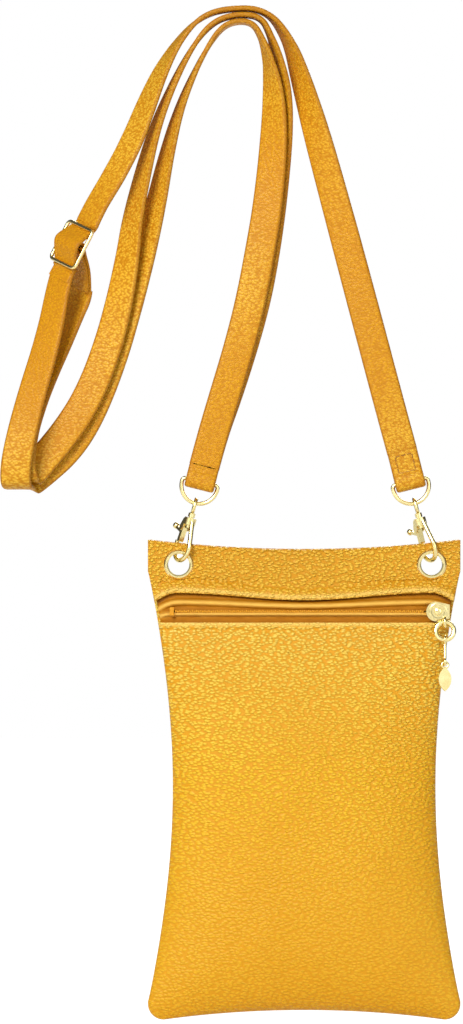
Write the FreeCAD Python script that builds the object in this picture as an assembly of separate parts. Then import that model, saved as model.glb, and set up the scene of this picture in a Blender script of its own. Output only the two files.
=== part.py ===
import FreeCAD, Part
import math
import os

# Phone pouch of grained leather that hangs by its long strap from a peg.
# Millimetres, +Z up, the front faces -Y. The origin is the underside of the strap on the peg.

# Pouch
POUCH_WIDTH = 120.6
POUCH_HEIGHT = 185.0
POUCH_CENTRE_X = 23.2
POUCH_TOP_Z = -199.2
WAIST_DRAW = 9.6
TOP_SAG = 3.9
BOTTOM_SAG = 3.7
CORNER_RADIUS = 6.0
BELLY_DEPTH = 13.0
LEATHER = 1.5
LINING = 0.4
LINING_GAP = 0.1
SEAM_WIDTH = 2.5
BAND_FLAT = 16.0
CAVITY_TOP = 18.0
SHOULDER_DROP = 12.0
FOOT_RISE = 7.0
MOUTH_DROP = 20.0
MOUTH_FADE = 35.0
TOP_SAG_DEPTH = 20.0
BOTTOM_SAG_DEPTH = 85.0

# Zip
BAND_HEM = 23.2
HEM_LIFT = 2.8
HEM_CURL = 3.6
HEM_HUMP = 0.85
PANEL_HEM = 31.8
TAPE_GAP = 1.4
TAPE_WIDTH = 7.0
TOOTH_PITCH = 1.6
TOOTH_WIDTH = 0.7
TOOTH_REACH = 0.7
TOOTH_SPINE = 0.9
TEETH_THICK = 1.3
ZIP_INSET = 10.3
ZIP_CLEARANCE = 0.15
SLIDER_LENGTH = 9.0
SLIDER_HEIGHT = 7.6
SLIDER_PLATE = 1.0
SLIDER_POST = 1.1
SLIDER_INSET = 8.8
PARK_CLEARANCE = 0.4
CROWN_RADIUS = 3.5
CROWN_RIM = 0.4
CROWN_THICK = 0.9
CROWN_DISH = 0.25
BUTTON_RADIUS = 1.5
BUTTON_RISE = 0.5
LUG_SHIFT = 2.5
LUG_DROP = 4.0
LUG_EYE = 1.7
LUG_WIRE = 0.6
LUG_NECK = 0.8
PULL_RING_RADIUS = 3.5
PULL_RING_WIRE = 0.9
LINK_LENGTH = 8.6
LINK_WIRE = 0.45
LINK_EYE = 1.6
LEAF_LENGTH = 9.0
LEAF_WIDTH = 4.8
LEAF_THICK = 0.9
PULL_CLEARANCE = 0.3
PULL_LEAN = 11.0

# Eyelets
EYELET_INSET = 11.5
EYELET_SHIFT = 0.4
EYELET_DROP = 9.4
EYELET_HOLE = 4.1
EYELET_BARREL = 4.6
EYELET_FLANGE = 5.8
EYELET_LIP = 0.7
EYELET_CLEARANCE = 0.05
EYELET_SEAT = 0.1

# Swivel clasps
HOOK_WIRE = 0.9
HOOK_BEND = 5.2
HOOK_NOSE = 7.4
HOOK_SHIFT_X = 0.0
HOOK_SHIFT_Z = 1.6
HOOK_TURN = 30.0
CLASP_LENGTH = 22.9
CLASP_LEAN = 16.1
COLLAR_RADIUS = 2.3
COLLAR_DROP = 5.9
COLLAR_LENGTH = 2.8
COLLAR_BORE = 1.0
SWIVEL_CLEARANCE = 0.08
SWIVEL_HEAD = 1.35
SWIVEL_HEAD_THICK = 0.9
SWIVEL_GAP = 0.3
HEAD_ROOM = 2.7
EYE_HOLE = 2.0
EYE_WIRE = 0.7
GATE_PIVOT_A = -2.9
GATE_PIVOT_DROP = 1.6
GATE_LAP = 0.4
GATE_WIDTH = 1.7
GATE_THICK = 2.0
GATE_PIN = 0.5
GATE_CLEARANCE = 0.15
CHEEK_THICK = 0.6
KNOB_RADIUS = 1.3
KNOB_REACH = 4.4

# D-rings
RING_WIRE = 0.8
RING_BEND = 7.0
RING_CORNER = 1.2
RING_HEIGHT = 8.55
RING_TILT = 14.0

# Strap
STRAP_WIDTH = 11.8
STRAP_THICK = 1.8
FOLD_WIDTH = 11.2
FOLD_CLEARANCE = 0.5
PLY_GAP = 0.7
END_GAP = 0.4
LOOP_LEAD = 3.0
RIGHT_TAB = 12.0
LEFT_FOLD = 6.0
STITCH_LENGTH = 1.6
STITCH_THICK = 0.4
STITCH_BOX = 6.6

# Slide buckle
BUCKLE_X = -66.4
BUCKLE_Y = -4.0
BUCKLE_Z = -85.3
BUCKLE_LEAN = 27.0
BUCKLE_TURN = 50.0
BUCKLE_BAR = 0.75
BUCKLE_PITCH = 8.0
BUCKLE_WIDTH = 14.4
PASS_THICK = 1.5
PASS_REACH = 14.0
FOLD_PLY = 1.1
BAR_CLEARANCE = 0.1

# The strap's free stretches: x, y, z of the middle of the strap and its turn,
# from edge-on (0 degrees) on the peg to face-on (90 degrees).
RIGHT_RUN = [
    (56.7, 1.0, -149.0, 90),
    (47.1, 1.2, -112.7, 84),
    (37.4, 1.2, -76.4, 74),
    (28.6, 1.0, -44.0, 60),
    (22.4, 0.6, -22.4, 40),
    (17.4, 0.2, -6.2, 18),
    (8.5, 0, 5.9, 2),
    (-7.7, 0, 5.9, 0),
    (-17.4, 0, 2.3, 4),
    (-25.5, 0, -6.6, 15),
    (-32.4, -0.5, -18.5, 30),
    (-37.8, -1.2, -31.7, 42),
    (-43.2, -2, -45.5, 50),
    (-50.0, -2.4, -58.5, 52),
    (-56.4, -2.4, -69.0, 50),
]
OUTER_LOOP = [
    (-72.0, -2.6, -103.5, 51),
    (-73.9, -4.0, -114.5, 56),
    (-76.9, -5.3, -127.0, 62),
    (-81.2, -6.3, -141.3, 68),
    (-85.7, -7.2, -158.3, 76),
    (-88.0, -7.4, -170.6, 84),
    (-88.0, -6.4, -178.3, 88),
    (-85.7, 5.0, -179.1, 90),
    (-79.0, 6.2, -174.0, 88),
    (-67.5, 6.2, -163.8, 86),
    (-59.0, 5.9, -150.0, 82),
    (-50.6, 5.5, -128.6, 78),
    (-44.3, 5.0, -107.0, 70),
    (-38.9, 4.4, -88.0, 56),
    (-34.0, 3.2, -69.5, 40),
    (-30.1, 2.0, -51.0, 27),
    (-25.1, 1.0, -32.4, 15),
    (-18.1, 0.3, -16.2, 5),
    (-10.8, 0, -3.5, 0),
    (-5.0, 0, 0.9, 0),
    (3.1, 0, 0.9, 0),
    (6.9, 0, -5.4, 4),
    (9.7, -0.2, -14.7, 18),
    (11.6, -0.6, -27.8, 42),
    (11.6, -1.0, -45.5, 62),
    (9.3, -1.2, -69.5, 76),
    (6.2, -1.25, -88.0, 82),
    (2.7, -1.25, -106.5, 86),
    (-2.0, -1.25, -125.1, 88),
    (-7.6, -1.25, -143.6, 90),
    (-12.4, -1.25, -159.8, 90),
]
INNER_LOOP = [
    (-12.2, 1.3, -159.0, 90),
    (-6.6, 1.5, -143.6, 90),
    (-0.6, 1.7, -125.1, 88),
    (4.6, 1.8, -106.5, 86),
    (8.1, 1.9, -88.0, 82),
    (10.8, 1.9, -69.5, 76),
    (13.5, 1.8, -45.5, 62),
    (14.7, 1.4, -28.6, 42),
    (13.5, 0.7, -15.4, 20),
    (10.4, 0.1, -4.6, 5),
    (6.2, 0, 3.4, 0),
    (-5.8, 0, 3.4, 0),
    (-13.9, 0, -0.8, 0),
    (-21.2, 0, -10.8, 5),
    (-28.6, 0.2, -25.5, 12),
    (-34.4, 0.6, -40.1, 20),
    (-39.0, 1.2, -57.1, 30),
    (-43.2, 1.8, -75.7, 40),
    (-44.8, 2.2, -89.0, 50),
    (-47.8, 2.4, -106.0, 63),
    (-52.7, 2.5, -125.0, 74),
    (-59.9, 2.5, -143.4, 80),
    (-68.0, 2.4, -156.4, 84),
    (-76.9, 2.4, -167.2, 86),
    (-83.6, 2.2, -175.4, 88),
    (-85.4, -3.4, -176.0, 88),
    (-86.4, -4.0, -168.6, 85),
    (-85.0, -3.4, -157.5, 80),
    (-81.4, -1.7, -145.8, 74),
    (-76.8, 1.0, -134.6, 68),
    (-72.1, 4.0, -124.6, 62),
    (-67.2, 6.8, -113.4, 56),
    (-63.6, 8.2, -105.6, 52),
]

FAR = 400.0
V = FreeCAD.Vector
nodes = {}


def frame_point(origin, axes, a, b, c):
    return origin + axes[0] * a + axes[1] * b + axes[2] * c


def square_to(direction, axis):
    """The part of direction that is square to axis, at unit length."""
    rest = direction - axis * direction.dot(axis)
    rest.normalize()
    return rest


# Pouch: a stuffed envelope. Its outer surface and its cavity are smooth surfaces
# through points worked out from the outline and the belly, and the seam lies in the plane y = 0.
def half_width(drop):
    width = POUCH_WIDTH / 2
    share = (drop - SHOULDER_DROP) / (POUCH_HEIGHT - SHOULDER_DROP - FOOT_RISE)
    if 0 < share < 1:
        width -= WAIST_DRAW * math.sin(math.pi * share) ** 0.9
    height = POUCH_HEIGHT - drop
    if height < CORNER_RADIUS:
        width -= CORNER_RADIUS - math.sqrt(max(0, CORNER_RADIUS ** 2 - (CORNER_RADIUS - height) ** 2))
    return width


def belly(across, drop):
    """How far the leather swells from the seam plane."""
    share = (drop - BAND_FLAT) / (POUCH_HEIGHT - BAND_FLAT)
    if share <= 0 or share >= 1:
        return 0.0
    swell = BELLY_DEPTH / 0.392 * share ** 0.95 * math.sqrt(1 - share)
    fullness = 2.6 + 5.4 * math.exp(-((drop - MOUTH_DROP) / MOUTH_FADE) ** 2)
    return swell * max(0.0, 1 - abs(across) ** fullness) ** 0.62


def envelope(inset, wall, top_drop):
    """A solid from the swollen surface back through the seam plane."""
    rows = []
    row_count = 23
    column_count = 23
    for i in range(row_count):
        share = (1 - math.cos(math.pi * i / (row_count - 1))) / 2
        row = []
        for j in range(column_count):
            across = math.sin(math.pi * (j / (column_count - 1) - 0.5))
            arch = 1 - across ** 2
            bottom = POUCH_HEIGHT - inset
            drop = top_drop + share * (bottom - top_drop)
            low = BOTTOM_SAG * arch * max(0.0, 1 - (POUCH_HEIGHT - drop) / BOTTOM_SAG_DEPTH) ** 2
            high = TOP_SAG * arch * max(0.0, 1 - drop / TOP_SAG_DEPTH) ** 2
            x = POUCH_CENTRE_X + across * (half_width(drop) - inset)
            swell = belly(across, drop)
            depth = max(0.0, inset - SEAM_WIDTH)
            y = -wall - swell * swell / (swell + depth + 1e-9)
            row.append(V(x, y, POUCH_TOP_Z - drop - high + low))
        rows.append(row)
    surface = Part.BSplineSurface()
    surface.interpolate(rows)
    return surface.toShape().extrude(V(0, FAR, 0))


def slab(top_drop, bottom_drop):
    """Everything in front of the seam plane between two drops below the pouch's top corners."""
    low = V(-FAR, -FAR, POUCH_TOP_Z - bottom_drop)
    return Part.makeBox(2 * FAR, FAR, bottom_drop - top_drop, low)


def band_slab():
    """All in front of the seam plane above the band's hem, which sags mid-way and curls down at its ends."""
    steps = 40
    hem = []
    for i in range(steps + 1):
        across = 2 * i / steps - 1
        share = abs(across) / HEM_HUMP
        lift = HEM_LIFT * math.sin(math.pi / 2 * min(1.0, share)) ** 2
        if share > 1:
            lift -= HEM_CURL * ((abs(across) - HEM_HUMP) / (1 - HEM_HUMP)) ** 1.5
        hem.append(V(POUCH_CENTRE_X + across * POUCH_WIDTH / 2, 0, POUCH_TOP_Z - BAND_HEM + lift))
    curve = Part.BSplineCurve()
    curve.interpolate(hem)
    high = V(0, 0, 2 * BAND_HEM)
    outline = Part.Wire([
        curve.toShape(),
        Part.makeLine(hem[-1], hem[-1] + high),
        Part.makeLine(hem[-1] + high, hem[0] + high),
        Part.makeLine(hem[0] + high, hem[0]),
    ])
    return Part.Face(outline).extrude(V(0, -FAR, 0))


front_half = slab(-FAR, 2 * FAR)
outside = envelope(0.0, LEATHER, 0.0)
cavity = envelope(SEAM_WIDTH, 0.0, CAVITY_TOP)
skin_face = envelope(SEAM_WIDTH + LINING_GAP, 0.0, CAVITY_TOP + LINING_GAP)
pocket = envelope(SEAM_WIDTH + LINING_GAP + LINING, 0.0, CAVITY_TOP + LINING_GAP + LINING)
leather = outside.cut(cavity).common(front_half)
skin = skin_face.cut(pocket).common(front_half)

EYELET_Z = POUCH_TOP_Z - EYELET_DROP
eyelet_reach = POUCH_WIDTH / 2 - EYELET_INSET
eyelet_x = {
    "left": POUCH_CENTRE_X + EYELET_SHIFT - eyelet_reach,
    "right": POUCH_CENTRE_X + EYELET_SHIFT + eyelet_reach,
}
# Each eyelet is pressed a little into the leather of both faces.
seat = LEATHER - EYELET_SEAT
eyelet_holes = []
for x in eyelet_x.values():
    middle = V(x, 0, EYELET_Z)
    for way in (V(0, -1, 0), V(0, 1, 0)):
        eyelet_holes.append(Part.makeCylinder(EYELET_BARREL + EYELET_CLEARANCE, 2 * LEATHER, middle, way))
        seat_radius = EYELET_FLANGE + EYELET_CLEARANCE
        eyelet_holes.append(Part.makeCylinder(seat_radius, LEATHER, middle + way * seat, way))
ZIP_DROP = (BAND_HEM + PANEL_HEM) / 2
nodes["top_band"] = leather.common(band_slab()).cut(eyelet_holes)
nodes["front_panel"] = leather.common(slab(PANEL_HEM, FAR))
nodes["back_panel"] = leather.mirror(V(0, 0, 0), V(0, 1, 0)).cut(eyelet_holes)
tape_low = ZIP_DROP - TAPE_GAP / 2
tape_high = ZIP_DROP + TAPE_GAP / 2
nodes["front_lining"] = skin.common(slab(tape_high + TAPE_WIDTH, FAR))
nodes["back_lining"] = skin.mirror(V(0, 0, 0), V(0, 1, 0))


# Zip: two combs of teeth that mesh in front of the tapes, an end stop and a slider.
ZIP_Z = POUCH_TOP_Z - ZIP_DROP
zip_reach = POUCH_WIDTH / 2 - ZIP_INSET
slider_x = POUCH_CENTRE_X + POUCH_WIDTH / 2 - SLIDER_INSET
TEETH_BACK = -belly(0, ZIP_DROP + TOOTH_REACH + 2 * TOOTH_SPINE) - ZIP_CLEARANCE
TEETH_FRONT = TEETH_BACK - TEETH_THICK


def comb(side, offset):
    """Teeth on a spine along X. side is 1 above the zip's line and -1 below it."""
    left = POUCH_CENTRE_X - zip_reach
    right = slider_x - SLIDER_LENGTH / 2 + 1.2
    outer = ZIP_Z + side * (TOOTH_REACH + 2 * TOOTH_SPINE)
    root = ZIP_Z + side * (TOOTH_REACH + 0.1)
    tip = ZIP_Z - side * TOOTH_REACH
    points = [V(left, TEETH_BACK, outer), V(left, TEETH_BACK, root)]
    start = left + offset
    while start + TOOTH_WIDTH < right:
        points.append(V(start, TEETH_BACK, root))
        points.append(V(start, TEETH_BACK, tip))
        points.append(V(start + TOOTH_WIDTH, TEETH_BACK, tip))
        points.append(V(start + TOOTH_WIDTH, TEETH_BACK, root))
        start += TOOTH_PITCH
    points += [V(right, TEETH_BACK, root), V(right, TEETH_BACK, outer), points[0]]
    return Part.Face(Part.makePolygon(points)).extrude(V(0, -TEETH_THICK, 0))


nodes["zip_teeth_upper"] = comb(1, 0.2)
nodes["zip_teeth_lower"] = comb(-1, 0.2 + TOOTH_PITCH / 2)
stop_x = POUCH_CENTRE_X - zip_reach - 1.9
stop_height = 2 * (TOOTH_REACH + TOOTH_SPINE)
stop = Part.makeBox(1.7, TEETH_THICK, stop_height, V(stop_x, TEETH_FRONT, ZIP_Z - stop_height / 2))
nodes["zip_end_stop"] = stop.makeFillet(0.3, stop.Edges)


def revolved(points, x, z):
    """A shape turned about an axis along Y at x, z from radius and depth pairs."""
    corners = [V(x + radius, depth, z) for radius, depth in points]
    face = Part.Face(Part.makePolygon(corners + corners[:1]))
    return face.revolve(V(x, 0, z), V(0, 1, 0), 360)


def plate(length, height, thick, centre_x, back_y):
    """A plate whose left end is a half round, as on a zip slider."""
    half = height / 2
    left = centre_x - length / 2
    right = centre_x + length / 2
    outline = Part.Wire([
        Part.Arc(V(left + half, back_y, ZIP_Z + half), V(left, back_y, ZIP_Z),
                 V(left + half, back_y, ZIP_Z - half)).toShape(),
        Part.makeLine(V(left + half, back_y, ZIP_Z - half), V(right, back_y, ZIP_Z - half * 0.7)),
        Part.makeLine(V(right, back_y, ZIP_Z - half * 0.7), V(right, back_y, ZIP_Z + half * 0.7)),
        Part.makeLine(V(right, back_y, ZIP_Z + half * 0.7), V(left + half, back_y, ZIP_Z + half)),
    ])
    return Part.Face(outline).extrude(V(0, -thick, 0))


slider_back = TEETH_FRONT - ZIP_CLEARANCE
slider_front = slider_back - SLIDER_PLATE
inner_back = -belly(0, ZIP_DROP - SLIDER_HEIGHT / 2 + 0.8) + LINING + ZIP_CLEARANCE + SLIDER_PLATE
front_plate = plate(SLIDER_LENGTH, SLIDER_HEIGHT, SLIDER_PLATE, slider_x, slider_back)
back_plate = plate(SLIDER_LENGTH - 1.0, SLIDER_HEIGHT - 1.6, SLIDER_PLATE, slider_x, inner_back)
post_x = slider_x + SLIDER_LENGTH / 2 - SLIDER_POST - 0.6
post_foot = V(post_x, slider_front, ZIP_Z)
post = Part.makeCylinder(SLIDER_POST / 2, inner_back - slider_front, post_foot, V(0, 1, 0))
crown_rim = slider_front - CROWN_THICK
crown_dish = crown_rim + CROWN_DISH
button_top = crown_dish - BUTTON_RISE
crown = revolved([
    (0, slider_back - SLIDER_PLATE / 2),
    (CROWN_RADIUS - CROWN_RIM, slider_back - SLIDER_PLATE / 2),
    (CROWN_RADIUS, slider_front - CROWN_RIM / 2),
    (CROWN_RADIUS, crown_rim + CROWN_RIM / 2),
    (CROWN_RADIUS - CROWN_RIM, crown_rim),
    (CROWN_RADIUS - 2 * CROWN_RIM, crown_rim),
    (CROWN_RADIUS - 3 * CROWN_RIM, crown_dish),
    (BUTTON_RADIUS, crown_dish),
    (BUTTON_RADIUS - CROWN_RIM / 2, button_top + CROWN_RIM / 2),
    (BUTTON_RADIUS - 2 * CROWN_RIM, button_top),
    (0, button_top),
], slider_x, ZIP_Z)
pull_x = slider_x + LUG_SHIFT
pull_y = slider_front - LUG_EYE
pull_z = ZIP_Z - LUG_DROP
pull_pivot = V(pull_x, pull_y, pull_z)
lug = Part.makeTorus(LUG_EYE, LUG_WIRE, pull_pivot, V(1, 0, 0))
lug_foot = V(pull_x, slider_back - SLIDER_PLATE / 2, pull_z + LUG_EYE + LUG_WIRE / 4)
lug_neck = Part.makeCylinder(LUG_NECK, LUG_EYE + LUG_WIRE / 2, lug_foot, V(0, -1, 0))
nodes["zip_slider"] = front_plate.fuse([back_plate, post, crown, lug, lug_neck]).removeSplitter()

# The tapes are cut away where the slider parks at the closed end.
park_height = SLIDER_HEIGHT - 1.6 + 2 * PARK_CLEARANCE
park_left = slider_x - SLIDER_LENGTH / 2 - PARK_CLEARANCE
park = Part.makeBox(FAR, FAR, park_height, V(park_left, -FAR / 2, ZIP_Z - park_height / 2))
upper_strip = slab(tape_low - TAPE_WIDTH, tape_low).cut(park)
lower_strip = slab(tape_high, tape_high + TAPE_WIDTH).cut(park)
nodes["zip_tape_upper"] = skin_face.common(upper_strip).cut(pocket)
nodes["zip_tape_lower"] = skin_face.common(lower_strip).cut(pocket)


# Pull: a jump ring in the slider's lug, a link and a plain leaf drop, each free to swing.
ring_z = pull_z - PULL_RING_RADIUS
nodes["pull_ring"] = Part.makeTorus(PULL_RING_RADIUS, PULL_RING_WIRE, V(pull_x, pull_y, ring_z), V(0, 1, 0))
link_top = ring_z - PULL_RING_RADIUS
link_low = link_top - LINK_LENGTH
upper_eye = Part.makeTorus(LINK_EYE, LINK_WIRE, V(pull_x, pull_y, link_top), V(1, 0, 0))
lower_radius = 2 * LINK_WIRE + PULL_CLEARANCE
lower_eye = Part.makeTorus(lower_radius, LINK_WIRE, V(pull_x, pull_y, link_low), V(1, 0, 0))
bar_length = LINK_LENGTH - LINK_EYE - lower_radius
bar = Part.makeCylinder(LINK_WIRE * 1.3, bar_length, V(pull_x, pull_y, link_low + lower_radius), V(0, 0, 1))
nodes["pull_link"] = bar.fuse([upper_eye, lower_eye]).removeSplitter()
leaf_eye_z = link_low - lower_radius
leaf_eye = Part.makeTorus(lower_radius, LINK_WIRE, V(pull_x, pull_y, leaf_eye_z), V(0, 1, 0))
leaf_top = leaf_eye_z - lower_radius
leaf_y = pull_y + LEAF_THICK / 2
leaf_low = V(pull_x, leaf_y, leaf_top - LEAF_LENGTH)
leaf_high = V(pull_x, leaf_y, leaf_top + 0.2)
leaf_side = leaf_top - LEAF_LENGTH * 0.42
leaf_outline = Part.Wire([
    Part.Arc(leaf_high, V(pull_x + LEAF_WIDTH / 2, leaf_y, leaf_side), leaf_low).toShape(),
    Part.Arc(leaf_low, V(pull_x - LEAF_WIDTH / 2, leaf_y, leaf_side), leaf_high).toShape(),
])
leaf = Part.Face(leaf_outline).extrude(V(0, -LEAF_THICK, 0))
nodes["leaf_drop"] = leaf.fuse(leaf_eye).removeSplitter()
# The pull lies on the full front of the pouch and so leans forwards.
for name in ("pull_ring", "pull_link", "leaf_drop"):
    nodes[name].rotate(pull_pivot, V(1, 0, 0), -PULL_LEAN)


# Eyelets: a flanged barrel through the band, closed by a washer behind it.
for side, x in eyelet_x.items():
    nodes["eyelet_" + side] = revolved([
        (EYELET_HOLE, LEATHER + EYELET_LIP),
        (EYELET_HOLE, -LEATHER - EYELET_LIP * 0.5),
        (EYELET_HOLE + 0.5, -LEATHER - EYELET_LIP),
        (EYELET_FLANGE - 0.6, -LEATHER - EYELET_LIP),
        (EYELET_FLANGE, -LEATHER - 0.1),
        (EYELET_FLANGE, -seat),
        (EYELET_BARREL, -seat),
        (EYELET_BARREL, LEATHER + EYELET_LIP),
    ], x, EYELET_Z)
    nodes["eyelet_washer_" + side] = revolved([
        (EYELET_BARREL + EYELET_CLEARANCE, seat),
        (EYELET_FLANGE, seat),
        (EYELET_FLANGE, LEATHER + 0.2),
        (EYELET_FLANGE - 0.5, LEATHER + EYELET_LIP - 0.1),
        (EYELET_BARREL + EYELET_CLEARANCE, LEATHER + EYELET_LIP - 0.1),
    ], x, EYELET_Z)


# Swivel clasps: a bent hook with a collar, a sprung gate on a pin, and an eye that turns in the collar.
# Local axes: a across the hook towards its spine, b through its thickness, c up to the D-ring.
HOOK_Z = EYELET_Z + HOOK_SHIFT_Z
leans = {"left": 1, "right": -1}
collar_high = CLASP_LENGTH - COLLAR_DROP
collar_low = collar_high - COLLAR_LENGTH
pivot = (GATE_PIVOT_A, collar_low - GATE_PIVOT_DROP)


def capsule(point, start, end, radius, thick):
    """A flat bar with round ends between two a, c places, thick about b = 0."""
    run = V(end[0] - start[0], 0, end[1] - start[1])
    along = V(run)
    along.normalize()
    side = V(-along.z, 0, along.x) * radius
    first = V(start[0], 0, start[1])
    last = V(end[0], 0, end[1])

    def corner(place):
        return point(place.x, -thick / 2, place.z)

    outline = Part.Wire([
        Part.makeLine(corner(first + side), corner(last + side)),
        Part.Arc(corner(last + side), corner(last + along * radius), corner(last - side)).toShape(),
        Part.makeLine(corner(last - side), corner(first - side)),
        Part.Arc(corner(first - side), corner(first - along * radius), corner(first + side)).toShape(),
    ])
    return Part.Face(outline).extrude(point(0, thick, 0) - point(0, 0, 0))


def clasp(side):
    lean = leans[side]
    hook_point = V(eyelet_x[side] + HOOK_SHIFT_X, 0, HOOK_Z)
    tilt = math.radians(CLASP_LEAN)
    up = V(lean * math.sin(tilt), 0, math.cos(tilt))
    turn = math.radians(HOOK_TURN)
    across = square_to(V(math.sin(turn), -math.cos(turn), 0), up)
    through = up.cross(across)
    axes = (across, through, up)

    def point(a, b, c):
        return frame_point(hook_point, axes, a, b, c)

    start_a = COLLAR_BORE + HOOK_WIRE
    start_c = (collar_low + collar_high) / 2
    reach = math.hypot(start_a, start_c - HOOK_BEND)
    touch = math.atan2(start_c - HOOK_BEND, start_a) - math.acos(HOOK_BEND / reach)
    tangent = point(HOOK_BEND * math.cos(touch), 0, HOOK_BEND + HOOK_BEND * math.sin(touch))
    start = point(start_a, 0, start_c)
    path = Part.Wire([
        Part.makeLine(start, tangent),
        Part.Arc(tangent, point(0, 0, 0), point(-HOOK_BEND, 0, HOOK_BEND)).toShape(),
        Part.makeLine(point(-HOOK_BEND, 0, HOOK_BEND), point(-HOOK_BEND, 0, HOOK_NOSE)),
    ])
    section = Part.Wire(Part.makeCircle(HOOK_WIRE, start, tangent - start))
    hook = path.makePipeShell([section], True, False)
    collar = Part.makeCylinder(COLLAR_RADIUS, COLLAR_LENGTH, point(0, 0, collar_low), up)
    cheek_gap = GATE_THICK + 2 * GATE_CLEARANCE
    cheek_width = cheek_gap + 2 * CHEEK_THICK
    cheeks = capsule(point, (GATE_PIVOT_A + 1.4, start_c), pivot, GATE_WIDTH / 2 + 0.25, cheek_width)
    slot = capsule(point, (pivot[0] - 0.4, pivot[1] + 0.2), (pivot[0], pivot[1] - 1.5), 2.0, cheek_gap)
    bore = Part.makeCylinder(COLLAR_BORE, 4 * COLLAR_LENGTH, point(0, 0, collar_low - COLLAR_LENGTH), up)
    pin_hole = Part.makeCylinder(GATE_PIN, 8, point(pivot[0], -4, pivot[1]), through)
    room_radius = SWIVEL_HEAD + GATE_CLEARANCE
    head_room = Part.makeCylinder(room_radius, HEAD_ROOM, point(0, 0, collar_low - HEAD_ROOM), up)
    body = hook.fuse([collar, cheeks]).cut([slot, bore, pin_hole, head_room])
    nodes["clasp_hook_" + side] = body.removeSplitter()

    gate_tip = (-HOOK_BEND + HOOK_WIRE + GATE_CLEARANCE + GATE_WIDTH / 2, HOOK_NOSE + GATE_LAP)
    knob_place = (-HOOK_BEND - KNOB_REACH, pivot[1])
    gate = capsule(point, pivot, gate_tip, GATE_WIDTH / 2, GATE_THICK)
    stem = capsule(point, (pivot[0] - 0.3, pivot[1] - 1.8), knob_place, 0.6, 1.2)
    knob = Part.makeSphere(KNOB_RADIUS, point(knob_place[0], 0, knob_place[1]))
    gate_hole = Part.makeCylinder(GATE_PIN + 0.04, 8, point(pivot[0], -4, pivot[1]), through)
    nodes["clasp_gate_" + side] = gate.fuse([stem, knob]).cut(gate_hole).removeSplitter()
    pin_start = point(pivot[0], -cheek_width / 2, pivot[1])
    nodes["gate_pin_" + side] = Part.makeCylinder(GATE_PIN, cheek_width, pin_start, through)

    eye_c = CLASP_LENGTH - EYE_HOLE + RING_WIRE + 0.15
    eye_axis = square_to(V(1, 0, 0), up)
    eye = Part.makeTorus(EYE_HOLE + EYE_WIRE, EYE_WIRE, point(0, 0, eye_c), eye_axis)
    eye_low = eye_c - EYE_HOLE - 2 * EYE_WIRE
    head_low = collar_low - SWIVEL_GAP - SWIVEL_HEAD_THICK
    shank_length = eye_low + EYE_WIRE - head_low
    shank = Part.makeCylinder(COLLAR_BORE - SWIVEL_CLEARANCE, shank_length, point(0, 0, head_low), up)
    head = Part.makeCylinder(SWIVEL_HEAD, SWIVEL_HEAD_THICK, point(0, 0, head_low), up)
    shoulder_low = collar_high + SWIVEL_GAP
    shoulder = Part.makeCylinder(SWIVEL_HEAD, eye_low + 0.4 - shoulder_low, point(0, 0, shoulder_low), up)
    nodes["swivel_eye_" + side] = eye.fuse([shank, head, shoulder]).removeSplitter()
    return point(0, 0, CLASP_LENGTH)


# D-rings: a straight bar in the strap's fold and a round bow that carries the clasp's eye.
def d_ring(side, eye_place):
    lean = leans[side]
    tilt = math.radians(RING_TILT)
    down = V(-lean * math.sin(tilt), 0, -math.cos(tilt))
    along = V(math.cos(tilt), 0, -lean * math.sin(tilt))
    bar_place = eye_place - down * RING_HEIGHT

    def place(a, d):
        return bar_place + along * a + down * d

    bow = RING_HEIGHT - RING_BEND
    half_bar = RING_BEND - RING_CORNER
    bend = RING_CORNER * math.sqrt(0.5)
    path = Part.Wire([
        Part.makeLine(place(-half_bar, 0), place(half_bar, 0)),
        Part.Arc(place(half_bar, 0), place(half_bar + bend, RING_CORNER - bend),
                 place(RING_BEND, RING_CORNER)).toShape(),
        Part.makeLine(place(RING_BEND, RING_CORNER), place(RING_BEND, bow)),
        Part.Arc(place(RING_BEND, bow), place(0, RING_HEIGHT), place(-RING_BEND, bow)).toShape(),
        Part.makeLine(place(-RING_BEND, bow), place(-RING_BEND, RING_CORNER)),
        Part.Arc(place(-RING_BEND, RING_CORNER), place(-half_bar - bend, RING_CORNER - bend),
                 place(-half_bar, 0)).toShape(),
    ])
    section = Part.Wire(Part.makeCircle(RING_WIRE, place(-half_bar, 0), along))
    nodes["d_ring_" + side] = path.makePipeShell([section], True, False)
    return place, along, down


ring_place = {}
for side in ("left", "right"):
    ring_place[side] = d_ring(side, clasp(side))


# Strap: a flat leather strap. Each stretch is a ruled loft through its sections.
def route_point(points, t):
    """A clamped quadratic spline over the points, at t from 0 to 1."""
    spans = len(points) - 2
    knots = [0, 0] + list(range(spans + 1)) + [spans, spans]
    u = min(t * spans, spans - 1e-9)
    k = int(u) + 2
    rows = [list(points[k - 2 + i]) for i in range(3)]
    for level in (1, 2):
        for i in range(2, level - 1, -1):
            low = knots[k - 2 + i]
            share = (u - low) / (knots[k + 1 + i - level] - low)
            rows[i] = [p + (q - p) * share for p, q in zip(rows[i - 1], rows[i])]
    return rows[2]


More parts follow.
